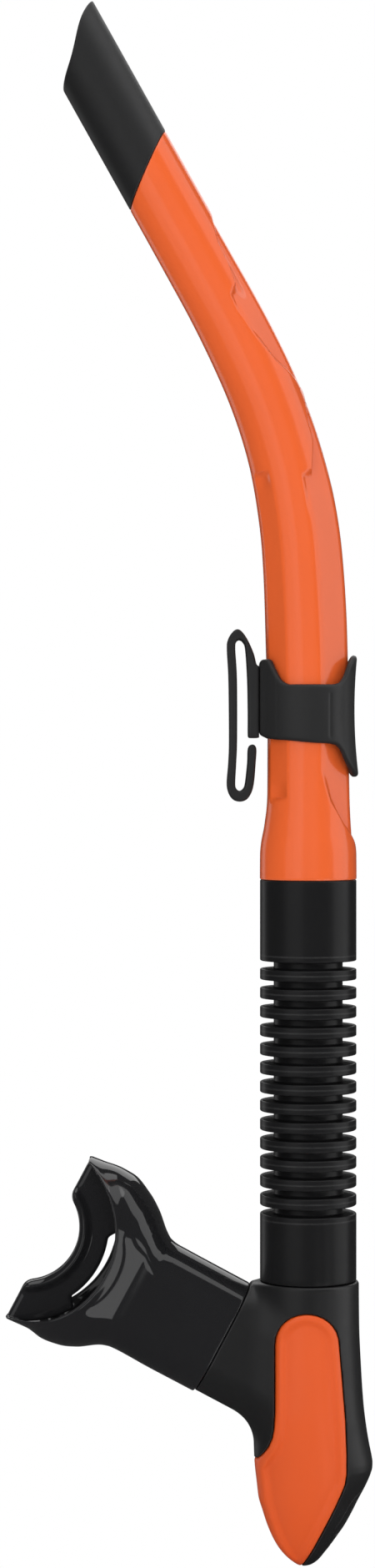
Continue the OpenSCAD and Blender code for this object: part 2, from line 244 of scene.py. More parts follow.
def closed_loft(rings):
    """Points and quads of a closed skin through rings, where the last ring joins the first."""
    count, size = len(rings), len(rings[0])
    ring = np.arange(count)[:, None] * size
    next_ring = np.roll(ring, -1, axis=0)
    step = np.arange(size)[None, :]
    next_step = np.roll(step, -1, axis=1)
    quads = np.stack([ring + step, ring + next_step, next_ring + next_step, next_ring + step], axis=-1)
    return np.concatenate(rings), quads.reshape(-1, 4)


def rounded_profile(corners, step=0.8, arc_steps=4):
    """A closed profile of short edges through (r, z, corner radius) corners, with arcs at the corners."""
    spots = np.array([c[:2] for c in corners], float)
    radii = [c[2] for c in corners]
    path = []
    for i, spot in enumerate(spots):
        back = spots[i - 1] - spot
        ahead = spots[(i + 1) % len(spots)] - spot
        back /= np.linalg.norm(back)
        ahead /= np.linalg.norm(ahead)
        if radii[i] == 0:
            path.append(spot)
            continue
        half = math.acos(np.clip(back @ ahead, -1, 1)) / 2
        reach = radii[i] / math.tan(half)
        centre = spot + (back + ahead) / np.linalg.norm(back + ahead) * radii[i] / math.sin(half)
        start = spot + back * reach - centre
        end = spot + ahead * reach - centre
        sweep = math.pi - 2 * half
        for k in range(arc_steps + 1):
            t = k / arc_steps
            blend = math.sin((1 - t) * sweep) * start + math.sin(t * sweep) * end
            path.append(centre + blend / math.sin(sweep))
    fine = []
    for a, b in zip(path, path[1:] + path[:1]):
        parts = max(1, math.ceil(np.linalg.norm(b - a) / step))
        fine += [a + (b - a) * k / parts for k in range(parts)]
    return np.array(fine)


RING_POINTS = 144


def revolve(profile):
    """A closed skin of revolution about the hose axis, from a closed (r, z) profile."""
    angle = np.linspace(0, 2 * np.pi, RING_POINTS, endpoint=False)
    rings = [np.stack([r * np.cos(angle), r * np.sin(angle), np.full_like(angle, z)], axis=1)
             for r, z in profile]
    return closed_loft(rings)


def enclosed_volume(points, quads):
    """Volume inside a closed skin of quads, negative where the faces are turned inside out."""
    a, b, c, d = (points[quads[:, k]] for k in range(4))
    return (np.einsum("ij,ij->i", a, np.cross(b, c)) + np.einsum("ij,ij->i", a, np.cross(c, d))).sum() / 6


def add_piece(name, points, quads, material, body, nodes, normals=None, sharp_angle=38):
    """A finished mesh object that rides on a body and stands for some CAD nodes."""
    if enclosed_volume(points, quads) < 0:
        quads = quads[:, ::-1]
    mesh = bpy.data.meshes.new(name)
    mesh.from_pydata((points * MM + AXIS).tolist(), [], quads.tolist())
    mesh.polygons.foreach_set("use_smooth", np.ones(len(mesh.polygons), bool))
    mesh.materials.append(material)
    if normals is None:
        mesh.set_sharp_from_angle(angle=math.radians(sharp_angle))
    else:
        mesh.normals_split_custom_set_from_vertices(normals.tolist())
    mesh.update()
    piece = bpy.data.objects.new(name, mesh)
    bpy.context.scene.collection.objects.link(piece)
    if body:
        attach(piece, body)
    if nodes:
        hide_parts(*nodes)
    return piece


# --- Materials --------------------------------------------------------------------------------------


TINT_MM = 22  # size of the large colour changes
SMUDGE_MM = 5  # size of the gloss changes
WEAR_MM = 0.6  # width of a worn edge
WEAR_PALENESS = 0.25
GLOSS_SPREAD = (0.82, 1.22)  # least and greatest roughness, as parts of a material's own


def moulded(name, colour, roughness, grain_mm, grain_height_mm, tint=0.12, wear=0.25, **settings):
    """A moulded surface: large soft colour changes, fine grain, uneven gloss and paler worn edges."""
    material = bpy.data.materials.new(name)
    material.use_nodes = True
    tree = material.node_tree
    shader = tree.nodes["Principled BSDF"]

    def node(kind, **values):
        new = tree.nodes.new(kind)
        for key, value in values.items():
            if key in new.inputs:
                new.inputs[key].default_value = value
            else:
                setattr(new, key, value)
        return new

    def join(source, target):
        tree.links.new(source, target)

    place = node("ShaderNodeTexCoord").outputs["Object"]
    broad = node("ShaderNodeTexNoise", Scale=1 / (TINT_MM * MM), Detail=3.0)
    fine = node("ShaderNodeTexNoise", Scale=1 / (grain_mm * MM), Detail=2.0)
    smudge = node("ShaderNodeTexNoise", Scale=1 / (SMUDGE_MM * MM), Detail=5.0, Roughness=0.65)
    for texture in (broad, fine, smudge):
        join(place, texture.inputs["Vector"])

    def shade(factor):
        return tuple(min(c * factor, 1.0) for c in colour) + (1.0,)

    tone = node("ShaderNodeMix", data_type="RGBA")
    tone_a, tone_b = (socket for socket in tone.inputs if socket.type == "RGBA")
    tone_a.default_value = shade(1 - tint)
    tone_b.default_value = shade(1 + tint)
    join(broad.outputs["Fac"], tone.inputs[0])
    tone_out = next(socket for socket in tone.outputs if socket.type == "RGBA")

    # A corner is where the normal of a rounded copy of the surface leans away from the true one
    bevel = node("ShaderNodeBevel", samples=4, Radius=WEAR_MM * MM)
    facing = node("ShaderNodeVectorMath", operation="DOT_PRODUCT")
    join(bevel.outputs["Normal"], facing.inputs[0])
    join(node("ShaderNodeNewGeometry").outputs["Normal"], facing.inputs[1])
    edge = node("ShaderNodeMapRange")
    edge.inputs["From Min"].default_value = 0.99
    edge.inputs["From Max"].default_value = 0.85
    join(facing.outputs["Value"], edge.inputs["Value"])
    worn = node("ShaderNodeMath", operation="MULTIPLY")
    join(edge.outputs["Result"], worn.inputs[0])
    join(smudge.outputs["Fac"], worn.inputs[1])
    worn_amount = node("ShaderNodeMath", operation="MULTIPLY")
    worn_amount.inputs[1].default_value = wear
    join(worn.outputs[0], worn_amount.inputs[0])
    aged = node("ShaderNodeMix", data_type="RGBA")
    aged_a, aged_b = (socket for socket in aged.inputs if socket.type == "RGBA")
    aged_b.default_value = tuple(c + (1 - c) * WEAR_PALENESS for c in colour) + (1.0,)
    join(tone_out, aged_a)
    join(worn_amount.outputs[0], aged.inputs[0])
    join(next(socket for socket in aged.outputs if socket.type == "RGBA"), shader.inputs["Base Color"])

    gloss = node("ShaderNodeMapRange")
    gloss.inputs["To Min"].default_value = roughness * GLOSS_SPREAD[0]
    gloss.inputs["To Max"].default_value = roughness * GLOSS_SPREAD[1]
    join(smudge.outputs["Fac"], gloss.inputs["Value"])
    join(gloss.outputs["Result"], shader.inputs["Roughness"])

    bump = node("ShaderNodeBump", Strength=1.0, Distance=grain_height_mm * MM)
    join(fine.outputs["Fac"], bump.inputs["Height"])
    join(bump.outputs["Normal"], shader.inputs["Normal"])
    for key, value in settings.items():
        shader.inputs[key.replace("_", " ")].default_value = value
    return material


# Name, colour, roughness, grain size and grain height of each, in millimetres
tube_orange = moulded("tube_orange", (0.80, 0.125, 0.028), 0.17, 1.6, 0.0015, tint=0.03, wear=0.4,
                      Specular_IOR_Level=0.5)
cover_orange = moulded("cover_orange", (0.76, 0.100, 0.016), 0.32, 0.5, 0.006, tint=0.03, wear=0.4,
                       Specular_IOR_Level=0.4)
tip_black = moulded("tip_soft_black", (0.0135, 0.0135, 0.014), 0.5, 0.35, 0.012, Specular_IOR_Level=0.45)
keeper_black = moulded("keeper_black", (0.019, 0.019, 0.0195), 0.45, 0.4, 0.010, Specular_IOR_Level=0.3)
hook_black = moulded("hook_black", (0.019, 0.019, 0.0195), 0.42, 0.4, 0.010, Specular_IOR_Level=0.3)
hose_black = moulded("hose_silicone", (0.0095, 0.0095, 0.01), 0.3, 0.8, 0.004, Specular_IOR_Level=0.2)
housing_black = moulded("housing_black", (0.0125, 0.0125, 0.013), 0.38, 0.28, 0.012,
                        Specular_IOR_Level=0.42)
mouth_black = moulded("mouthpiece_silicone", (0.0125, 0.0125, 0.0135), 0.06, 2.5, 0.0012,
                      Specular_IOR_Level=0.6)
seat_grey = moulded("seat_grey", (0.05, 0.05, 0.052), 0.4, 0.4, 0.008)
valve_milky = moulded("valve_silicone", (0.5, 0.52, 0.52), 0.3, 1.0, 0.004, tint=0.05,
                      Subsurface_Weight=0.3)

# --- Upper tube -------------------------------------------------------------------------------------
STRAIGHT = 46.75
BENDS = ((680, 4.2), (166.4, 20.7), (340, 4.3))  # radius and degrees turned towards the mouth
BENDS_END = STRAIGHT + sum(radius * math.radians(degrees) for radius, degrees in BENDS)
SPIGOT_R = 11.9
SPIGOT_LENGTH = 18
BORE_R = 9.2
MID_BORE_R = 9.8
TIP_BORE_R = 8.6
TIP_SPIGOT_R = 9.1
TIP_SPIGOT_END = BENDS_END + 56
TIP_FOOT = BENDS_END + 40.1
FOOT_SLOPE = 0.74
SLANT_START = BENDS_END + 4
TUBE_POINTS = 192
TUBE_RINGS = 330
BORE_RINGS = 60

# Curves along the tube, from its collar's foot: half width, and how far its other sides stand from that
half_width = curve((0, 14.5), (7.5, 14.45), (10.5, 14.2), (16.75, 13.1), (25.75, 12.62), (75, 12.6),
                   (91, 12.45), (111, 12.1), (128, 11.45), (153, 11.0), (188, 10.5), (212, 10.42),
                   (300, 10.4))
extra_depth = curve((0, 0), (8, 0), (26, 0.1), (75, 0.12), (120, 0.45), (BENDS_END, 0.2),
                    (BENDS_END + 30, 0))
nose_trim = curve((100, 0), (118, 0.15), (143.5, 0.32), (165, 0.2), (188, 0))
mouth_side_trim = curve((16, 0), (20.75, 0.25), (28.75, 0.38), (42, 0.41), (69, 0.26), (80, 0.37),
                        (92, 0.48), (113, 0.39), (123, 0.28), (145, 0.1), (168, 0))
# Borders of the two recesses: degrees from the outside of the bend, and distance along the tube
LOWER_RECESS = ((0, 9.2), (14, 11.8), (37.6, 16.5), (61, 23.2), (76, 32), (82, 45), (82, 100),
                (78, 120.6), (59, 121.4), (52, 124.5), (39, 129.5), (36, 135.3), (22, 140), (0, 144.1))
UPPER_RECESS = ((0, 143.1), (14, 144.6), (56, 153.8), (73, 164), (80, 171), (76, 177.4), (57, 179.5),
                (50, 185), (46, 192.9), (28, 199), (0, 204.3))
UNROLLED_R = 11.6
# Half width that the recesses are cut to: it stays narrow where the tube widens to its collar
recess_width = curve((9, 13.1), (12.8, 13.05), (20.8, 12.8), (30, 12.6), (75, 12.6), (91, 12.45),
                     (111, 12.1), (128, 11.45), (153, 11.0), (188, 10.5), (212, 10.42))
# How far the recess's nose lies inside that width, its extra depth at the ends, and the width of its wall
nose_drop = curve((9, 0.08), (25, 0.05), (31, 0.16), (60, 0.4), (79, 0.2), (90, 0.08), (109, 0.2),
                  (127, 0.12), (142, 0.35), (158, 0.6), (204, 0.75))
lower_end_cut = curve((9, 0.15), (22, 0.3), (40, 0), (104, 0), (121, 1.0), (144, 0.6))
upper_end_cut = curve((143, 0.3), (160, 0.05), (168, 0.05), (178, 1.0), (204, 0.6))
recess_wall = curve((9, 1.9), (26, 1.6), (40, 1.1), (105, 1.1), (120, 1.9), (145, 2.1), (160, 1.3),
                    (177, 1.6), (204, 1.9))
CREASE_ROUND = 0.9
CREASE = math.radians(72)
FLAT_ANGLE = math.radians(40.5)
MAX_FLAT_SIDE = math.radians(100)
BACK_FLAT_ANGLE = math.radians(40)
BACK_FLAT_HALF = math.radians(18)
BACK_FLAT_ENDS = (23.5, 123.8)
# Place, spread and extra depth of the back flats' two ledges
BACK_LEDGES = ((121.5, 3, 1.2), (26, 3, 1.0))


def recess_border(half):
    """Closed outline of a recess on the unrolled tube, from the border points of one half."""
    side = [(math.radians(degrees) * UNROLLED_R, s) for degrees, s in half]
    return np.array(side + [(-across, s) for across, s in side[-2:0:-1]])


LOWER_BORDER = recess_border(LOWER_RECESS)
UPPER_BORDER = recess_border(UPPER_RECESS)


def centre_line(s):
    """x, z and heading of the tube's centre line at distance s from the collar's foot."""
    left = np.maximum(s - STRAIGHT, 0.0)
    x = np.zeros_like(left)
    z = TUBE_Z + np.minimum(s, STRAIGHT)
    heading = np.zeros_like(left)
    for radius, degrees in BENDS:
        turned = np.minimum(left / radius, math.radians(degrees))
        x = x + radius * (np.cos(heading + turned) - np.cos(heading))
        z = z + radius * (np.sin(heading + turned) - np.sin(heading))
        heading = heading + turned
        left = left - radius * turned
    return x - left * np.sin(heading), z + left * np.cos(heading), heading


def tube_ring(s, radius, angle):
    """Points around the tube, where angle 0 is the outside of the bend."""
    x, z, heading = centre_line(s)
    across = radius * np.cos(angle)
    y = radius * np.sin(angle)
    return np.stack([x + across * np.cos(heading), y, z + across * np.sin(heading)], axis=1)


def keel_radius(plain, side, drop):
    """Section inside a recess: two flats that meet in a round nose."""
    flat_line = plain * math.cos(CREASE - FLAT_ANGLE)
    nose_r = (flat_line / math.cos(FLAT_ANGLE) - plain + drop) / (1 / math.cos(FLAT_ANGLE) - 1)
    nose_x = plain - drop - nose_r
    touch = np.arctan2(nose_r * math.sin(FLAT_ANGLE), nose_x + nose_r * math.cos(FLAT_ANGLE))
    nose = nose_x * np.cos(side) + np.sqrt(np.maximum(nose_r**2 - (nose_x * np.sin(side)) ** 2, 0))
    flat = flat_line / np.cos(np.minimum(side, MAX_FLAT_SIDE) - FLAT_ANGLE)
    return np.where(side < touch, nose, flat)


def tube_radius(s, angle):
    """Outside radius of the tube, with its two recesses and the shallow flats on the mouth side."""
    side = np.abs(angle)
    plain = half_width(s)
    plain = plain - nose_trim(s) * np.maximum(np.cos(angle), 0) ** 2
    plain = plain - mouth_side_trim(s) * np.maximum(-np.cos(angle), 0) ** 2
    radius = plain + extra_depth(s) * np.sin(angle) ** 2
    floor = smooth_max(plain - keel_radius(recess_width(s), side, nose_drop(s)), 0, CREASE_ROUND)
    for border, end_cut in ((LOWER_BORDER, lower_end_cut), (UPPER_BORDER, upper_end_cut)):
        inward = -outline_distance(border, angle * UNROLLED_R, s)
        radius = radius - smoothstep(inward / recess_wall(s)) * (floor + end_cut(s) * np.sin(side))
    off_flat = np.pi - side - BACK_FLAT_ANGLE
    off_flat = np.clip(off_flat, -BACK_FLAT_HALF, BACK_FLAT_HALF)
    cut = plain * (1 - math.cos(BACK_FLAT_HALF) / np.cos(off_flat))
    ledges = sum(extra * bell(s, place, spread) for place, spread, extra in BACK_LEDGES)
    cut = cut * (1 + ledges)
    return radius - cut * smoothstep(s - BACK_FLAT_ENDS[0]) * smoothstep(BACK_FLAT_ENDS[1] - s)


def build_tube():
    """Rings up the spigot and the outside, over the tip's spigot, and back down the bore."""
    angle = np.linspace(-np.pi, np.pi, TUBE_POINTS, endpoint=False)
    rings = []
    for s in (-SPIGOT_LENGTH, -SPIGOT_LENGTH / 2, -0.2):
        rings.append(tube_ring(np.full_like(angle, s), np.full_like(angle, SPIGOT_R), angle))
    collar_edge = ((0, 0.35), (0.1, 0.1), (0.35, 0))
    for s, cut in collar_edge:
        place = np.full_like(angle, s)
        rings.append(tube_ring(place, tube_radius(place, angle) - cut, angle))

    def slanted(s, cut=0.0):
        """A ring that leans more and more towards the slope of the tip's foot."""
        slant = FOOT_SLOPE * smoothstep((s - SLANT_START) / (TIP_FOOT - SLANT_START))
        place = s + slant * half_width(s) * np.cos(angle)
        return tube_ring(place, tube_radius(place, angle) - cut, angle)

    rings += [slanted(s) for s in np.linspace(1, TIP_FOOT - 0.5, TUBE_RINGS)]
    rings += [slanted(TIP_FOOT - 0.12, 0.08), slanted(TIP_FOOT, 0.3)]

    def inside(s, radius, slope=0.0):
        return tube_ring(s + slope * radius * np.cos(angle), np.full_like(angle, radius), angle)

    rings += [inside(TIP_FOOT, TIP_SPIGOT_R, FOOT_SLOPE), inside(TIP_SPIGOT_END - 0.3, TIP_SPIGOT_R),
              inside(TIP_SPIGOT_END, TIP_SPIGOT_R - 0.2), inside(TIP_SPIGOT_END, TIP_BORE_R)]
    bore = curve((-SPIGOT_LENGTH, BORE_R), (5, BORE_R), (STRAIGHT, MID_BORE_R), (BENDS_END, TIP_BORE_R),
                 (TIP_SPIGOT_END, TIP_BORE_R))
    bore_places = np.linspace(TIP_SPIGOT_END - 4, -SPIGOT_LENGTH, BORE_RINGS)
    rings += [inside(s, float(bore(s))) for s in bore_places]
    points, quads = closed_loft(rings)
    add_piece("tube_shell", points, quads, tube_orange, "tube", ["upper_tube"])


# --- Splash tip -------------------------------------------------------------------------------------
TIP_R = 10.4
TIP_INNER_R = 9.0
TIP_TOP = BENDS_END + 83.4
TIP_WALL = TIP_R - TIP_INNER_R
TIP_POINTS = 160
SEAM_GAP = 0.28  # between the tube's slanted end and the tip's foot
# The top edge leans down towards the mouth, and is crowned with a shallow wave across it
TOP_SLOPE = 0.95
CROWN = 0.6
WAVE = 0.45
WAVE_HALF = 7.5


def build_tip():
    """Rings from the foot up the outside, over the rounded rim, down the inside and around the socket."""
    angle = np.linspace(-np.pi, np.pi, TIP_POINTS, endpoint=False)

    def foot(radius, above=0.0):
        return TIP_FOOT + SEAM_GAP + above + FOOT_SLOPE * radius * np.cos(angle)

    def top(radius):
        p = radius * np.cos(angle)
        crown = CROWN * (1 - (p / TIP_R) ** 4) + WAVE * np.sin(np.pi * p / WAVE_HALF)
        return TIP_TOP + TOP_SLOPE * p + crown

    def ring(s, radius):
        return tube_ring(s, np.full_like(angle, radius), angle)

    foot_edge = ((foot(TIP_R - 0.25), TIP_R - 0.25), (foot(TIP_R, 0.1), TIP_R - 0.06),
                 (foot(TIP_R, 0.3), TIP_R))
    rings = [ring(place, radius) for place, radius in foot_edge]
    body = np.linspace(0, 1, 60)[1:]
    rings += [ring((1 - t) * foot(TIP_R, 0.3) + t * (top(TIP_R) - TIP_WALL / 2), TIP_R) for t in body]
    for turn in np.linspace(0, np.pi, 11)[1:]:
        radius = TIP_INNER_R + TIP_WALL / 2 * (1 + math.cos(turn))
        rings.append(ring(top(radius) - TIP_WALL / 2 * (1 - math.sin(turn)), radius))
    step = TIP_SPIGOT_END + SLIP
    lip = top(TIP_INNER_R) - TIP_WALL / 2
    rings += [ring((1 - t) * lip + t * step, TIP_INNER_R) for t in np.linspace(0, 1, 12)[1:]]
    socket_r = TIP_SPIGOT_R + GAP
    rings += [ring(np.full_like(angle, step), socket_r), ring(foot(socket_r), socket_r)]
    points, quads = closed_loft(rings)
    add_piece("tip_sleeve", points, quads, tip_black, "tube", ["splash_tip"])


# --- Hose -------------------------------------------------------------------------------------------
GROOVE = 2.375
NECK_R = 10.35
HALF_RIB = (RIB_PITCH - GROOVE) / 2
RIB_ROUND = 0.42
GROOVE_ROUND = 0.6
SOCKET_R = SPIGOT_R + GAP
HOUSING_SPIGOT = 14  # height of the housing's spigot inside the lower cuff


def build_hose():
    """The cuffs, and one soft piece across each groove from mid rib to mid rib."""
    chain = ["cuff"] + [name.replace("hose_", "") for name in RIBS] + ["mouth_unit"]
    for i, (above, below) in enumerate(zip(chain, chain[1:])):
        groove_top = UPPER_CUFF_Z - i * RIB_PITCH
        groove_foot = groove_top - GROOVE
        high, low = groove_top + HALF_RIB, groove_foot - HALF_RIB
        profile = rounded_profile([
            (BORE_R, high, 0), (HOSE_R, high, 0), (HOSE_R, groove_top, RIB_ROUND),
            (NECK_R, groove_top, GROOVE_ROUND), (NECK_R, groove_foot, GROOVE_ROUND),
            (HOSE_R, groove_foot, RIB_ROUND), (HOSE_R, low, 0), (BORE_R, low, 0)],
            step=0.4)
        points, quads = revolve(profile)
        nodes = [RIBS[i]] if i < len(RIBS) else []
        name = f"hose_groove_{i + 1:02d}"
        piece = add_piece(name, points, quads, hose_black, None, nodes)
        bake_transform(piece)
    cuff_foot = UPPER_CUFF_Z + HALF_RIB
    cuff_top = TUBE_Z - SLIP
    step_z = TUBE_Z - SPIGOT_LENGTH - SLIP
    upper = rounded_profile([
        (BORE_R, cuff_foot, 0), (HOSE_R, cuff_foot, 0), (HOSE_R, cuff_top, 0.4),
        (SOCKET_R, cuff_top, 0.2), (SOCKET_R, step_z, 0), (BORE_R, step_z, 0)], step=1.5)
    points, quads = revolve(upper)
    add_piece("hose_cuff_upper", points, quads, hose_black, "cuff", ["hose_upper_cuff"])
    low_z = SLIP + 0.15
    high_z = UPPER_CUFF_Z - len(RIBS) * RIB_PITCH - GROOVE - HALF_RIB
    step_z = HOUSING_SPIGOT + 2 * SLIP
    lower = rounded_profile([
        (SOCKET_R, low_z, 0.2), (HOSE_R, low_z, 0.45), (HOSE_R, high_z, 0), (BORE_R, high_z, 0),
        (BORE_R, step_z, 0), (SOCKET_R, step_z, 0)], step=1.5)
    points, quads = revolve(lower)
    add_piece("hose_cuff_lower", points, quads, hose_black, "mouth_unit", ["hose_lower_cuff"])


# --- Strap keeper and hook --------------------------------------------------------------------------
KEEPER_INNER_R = 13.05
KEEPER_R = 14.6
BOSS_X = -KEEPER_R - GAP
PIN_R = 1.6
pin_low, pin_high = cad_box("keeper_pivot_pin")
PIN_Z = (pin_low[2] + pin_high[2]) / 2
# Heights of the keeper's edges by angle, where 0 degrees faces away from the mouth
keeper_top = curve((0, 187.3), (10, 187.1), (21, 186.0), (29.5, 184.6), (35, 182.8), (41, 180.8),
                   (51, 178.8), (60, 178.45), (75, 178.4), (115, 178.4), (126, 179.4), (140, 183.5),
                   (148, 185.8), (152, 186), (161, 185.9), (180, 184.3))
keeper_foot = curve((0, 150.9), (12, 151.2), (20, 152.1), (28, 153.4), (38, 155.8), (46, 158.6),
                    (56, 160.4), (70, 160.9), (82, 161), (116, 161.7), (147, 162.2), (157, 163),
                    (180, 164.6))
EDGE_ROUND = 1.3
KEEPER_BORE_ROUND = 0.4
PLATE_SIDE = 38  # half of the saddle plate's angle, in degrees
PLATE_FADE = 22  # degrees over which the plate runs out into the band
# The plate is drawn in at its waist and flares above and below it
WAIST = 0.7
WAIST_Z = 171
WAIST_REACH = 16
WAIST_FLARE = 0.8
BOSS_BACK = -10.3
BOSS_HALF = 6
BOSS_CHAMFER = (3, 3.15)  # rise and run of the boss's slanted sides
BOSS_ROUND = 0.5
BOSS_BLEND = 0.6
SEAM_X = 6.1
SEAM_HALF = 0.4
SEAM_DEPTH = 0.22
SEAM_ENDS = (162, 176.5)
SEAM_FADE = 1.5
PIN_HOLE_END = -5


def keeper_field(x, y, z):
    """A band with a boss towards the hook, a waisted saddle plate away from it, and the pin's hole."""
    side = np.degrees(np.arctan2(np.abs(y), x))
    radius = np.hypot(x, y)
    top = z - keeper_top(side)
    foot = keeper_foot(side) - z
    plate = 1 - smoothstep((side - PLATE_SIDE) / PLATE_FADE)
    waist = WAIST - WAIST_FLARE * ((z - WAIST_Z) / WAIST_REACH) ** 2
    band = radius - KEEPER_R + plate * waist
    rise, run = BOSS_CHAMFER
    chamfer = (-(x - BOSS_X) * rise + (np.abs(y) - BOSS_HALF) * run) / math.hypot(rise, run)
    boss = np.maximum(smooth_max(BOSS_X - x, chamfer, BOSS_ROUND), x - BOSS_BACK)
    body = smooth_min(band, boss, BOSS_BLEND)
    seam_foot, seam_top = SEAM_ENDS
    seam_ends = smoothstep((z - seam_foot) / SEAM_FADE) * smoothstep((seam_top - z) / SEAM_FADE)
    seam = SEAM_DEPTH * bell(x, SEAM_X, SEAM_HALF) * seam_ends
    edge_slope = 0.85  # keeps the field near a true distance where the edges climb
    edges = smooth_max(top, foot, 0.8) * edge_slope
    body = smooth_max(body + seam, edges, EDGE_ROUND)
    pin_hole = np.maximum(np.hypot(y, z - PIN_Z) - PIN_R, x - PIN_HOLE_END)
    body = smooth_max(body, KEEPER_INNER_R - radius, KEEPER_BORE_ROUND)
    return np.maximum(body, -pin_hole)


def build_keeper():
    low = [-KEEPER_R - 1, -KEEPER_R - 1, 149.5]
    high = [KEEPER_R + 1.2, KEEPER_R + 1, 188.5]
    points, quads, normals = polygonise(keeper_field, low, high, cell=0.36)
    add_piece("keeper_shell", points, quads, keeper_black, "keeper", ["keeper_band"],
              normals)


# The hook is one bar that runs up the strap's far side and back down beside the keeper
HOOK_OUTLINE = closed_spline([
    (-15.65, 159.4), (-16.8, 160.6), (-18.05, 159.4), (-18.28, 155), (-18.94, 149), (-19.5, 147.4),
    (-20.6, 146.7), (-21.6, 147.4), (-21.93, 149), (-21.64, 155), (-21.37, 162), (-21.41, 180),
    (-21.91, 189), (-21.6, 191.2), (-20.7, 191.9), (-19.6, 191.2), (-18.86, 189), (-18.29, 180),
    (-18.1, 170), (-18.1, 164), (-17.9, 162.7), (-17.2, 162.5), (-15.5, 162.5), (-14.85, 162.7),
    (-14.8, 163.5), (-14.8, 183), (-14.95, 184), (-15.6, 184.6), (-16.4, 187.7), (-18, 191.4),
    (-19.6, 193.9), (-21.1, 195), (-22.6, 194.3), (-24.09, 192), (-24.38, 189), (-23.92, 180),
    (-23.75, 162), (-23.98, 155), (-24.44, 149), (-23.9, 146), (-22.6, 144.1), (-20.6, 143.5),
    (-18.6, 144.1), (-17.2, 146), (-16.36, 149), (-15.83, 155)])
HOOK_HALF_DEPTH = HOOK_HIGH[1]
HOOK_ROUND = 0.75
PIN_HEAD_R = (pin_high[2] - pin_low[2]) / 2
PIN_HEAD_X = -16.65


def hook_field(x, y, z):
    """The bent bar, with a stepped hole for the pin's shank and head."""
    body = slab(outline_distance(HOOK_OUTLINE, x, z), y, HOOK_HALF_DEPTH, HOOK_ROUND)
    from_pin = np.hypot(y, z - PIN_Z)
    shank = PIN_R + GAP - from_pin
    head = np.minimum(PIN_HEAD_R + GAP - from_pin, PIN_HEAD_X - x)
    return np.maximum(body, np.maximum(shank, head))


def build_hook():
    low = [-25.6, -HOOK_HALF_DEPTH - 1, 142.5]
    high = [-13.8, HOOK_HALF_DEPTH + 1, 196]
    points, quads, normals = polygonise(hook_field, low, high, cell=0.27)
    add_piece("hook_bar", points, quads, hook_black, "hook", ["strap_hook"], normals)


# --- Valve housing, side cover and vent grille ------------------------------------------------------
POD_FOOT = -85.6
# Half sections of the pod by height: its far side, its mouth side and its depth
pod_right = curve((POD_FOOT, -1.4), (-85.2, 0.2), (-84.8, 1.3), (-80.8, 5.3), (-76.8, 8.3), (-72.8, 11.1),
                  (-68.8, 13.3), (-64.8, 15.3), (-60.8, 17.4), (-57.5, 18.8), (-55.8, 19.25),
                  (-54.3, 19.3), (-52.8, 19.1), (-48.8, 18.3), (-44.8, 17.6), (-36.8, 16.6),
                  (-24.8, 15.8), (-12.8, 15.3), (0, 15.2))
pod_left = curve((POD_FOOT, -1.6), (-85.2, -2.9), (-84.8, -3.7), (-80.8, -8.2), (-76.8, -10.7),
                 (-72.8, -12.4), (-68.8, -13.7), (-64.8, -14.9), (-60.8, -15.4), (-52.8, -16.2),
                 (-44.8, -16.4), (-36.8, -16.0), (-24.8, -15.6), (-12.8, -15.3), (0, -15.2))
pod_depth = curve((POD_FOOT, 0.1), (-85.2, 1.5), (-84.8, 2.4), (-83, 4.6), (-77, 8.2), (-65, 11.8),
                  (-53, 13.6), (-37, 15), (-13, 15.15), (0, 15.2))
ARM_AT = (-25.75, -16.75)
ARM_ANGLE = math.radians(28)
ARM_LENGTH = 35.6
ARM_WIDTH = 22
COVER_T = 1.8
WALL = 1.3
SEAT_R = 8
SEAT_DEPTH = 7.5
SEAT_WALL_SPAN = (-SEAT_DEPTH - 1, 4)  # along the port's axis, from the port's mouth
SEAT_HOLE_SPAN = (-SEAT_DEPTH - 2, -2)
PORT_AT = (10.3, -69.4)
PORT_ANGLE = math.radians(120.5)
PORT_LENGTH = 20
PORT_WIDTH = 13
GRILLE_GAP = 0.08
LEDGE = -3  # where the grille rests in the port
COVER_GAP = 0.22
COVER_RECESS = 1.05
COVER_RIM = 1.3  # width of the cover's rim outside its recess
ARCH_AT = (-0.8, -17.4)
ARCH_R = 9.5
arch = [(ARCH_AT[0] + ARCH_R * math.cos(a), ARCH_AT[1] + ARCH_R * math.sin(a))
        for a in np.radians(np.arange(180, -1, -12))]
COVER_OUTLINE = np.array(
    arch + [(9.8, -30), (10.6, -40), (11, -50), (11, -56), (10.5, -59.2), (9.4, -62), (7.5, -66.3),
            (5.6, -70.2), (1, -79.5), (-2.6, -86), (-4, -92), (-22, -92), (-22, -53.3), (-16.2, -53.2),
            (-14.8, -52.2), (-13.4, -50.4), (-12, -48.2), (-11, -45.6), (-10.5, -42.6), (-10.3, -38)])
HOUSING_BLEND = 6  # rounding between the pod and the arm
SHOULDER_ROUND = 1.0
ARM_END_ROUND = 0.5
POCKET_ROUND = 0.35
COVER_EDGE_ROUND = 0.7
COVER_BACK_ROUND = 0.3
ARM_INNER = -24
ARM_SPIGOT_SPAN = (-8, 12)
ARM_SPIGOT_LENGTH = ARM_LENGTH - 4.5
ARM_SPIGOT_WIDTH = ARM_WIDTH - 4.5
PASSAGE_LENGTH = ARM_LENGTH - 7.7
PASSAGE_WIDTH = ARM_WIDTH - 7.7
PASSAGE_INNER = -22
HOSE_SPIGOT_FOOT = -4
THROAT_R = BORE_R + 0.6
THROAT_FOOT = -30
KEEL_OFFSET = 1.5  # the cover's recess starts this far from the pod's edge on the mouth side
KEEL_FADE = 3.2
RECESS_FADE = 2.4
GRILLE_T = COVER_T + 0.3
SLOT_ROWS = (-3.6, -1.2, 1.2, 3.6)
SLOT_LENGTH = 13
SLOT_WIDTH = 1.3
SLOT_ROUND = 0.4
GRILLE_ROUND = 0.2


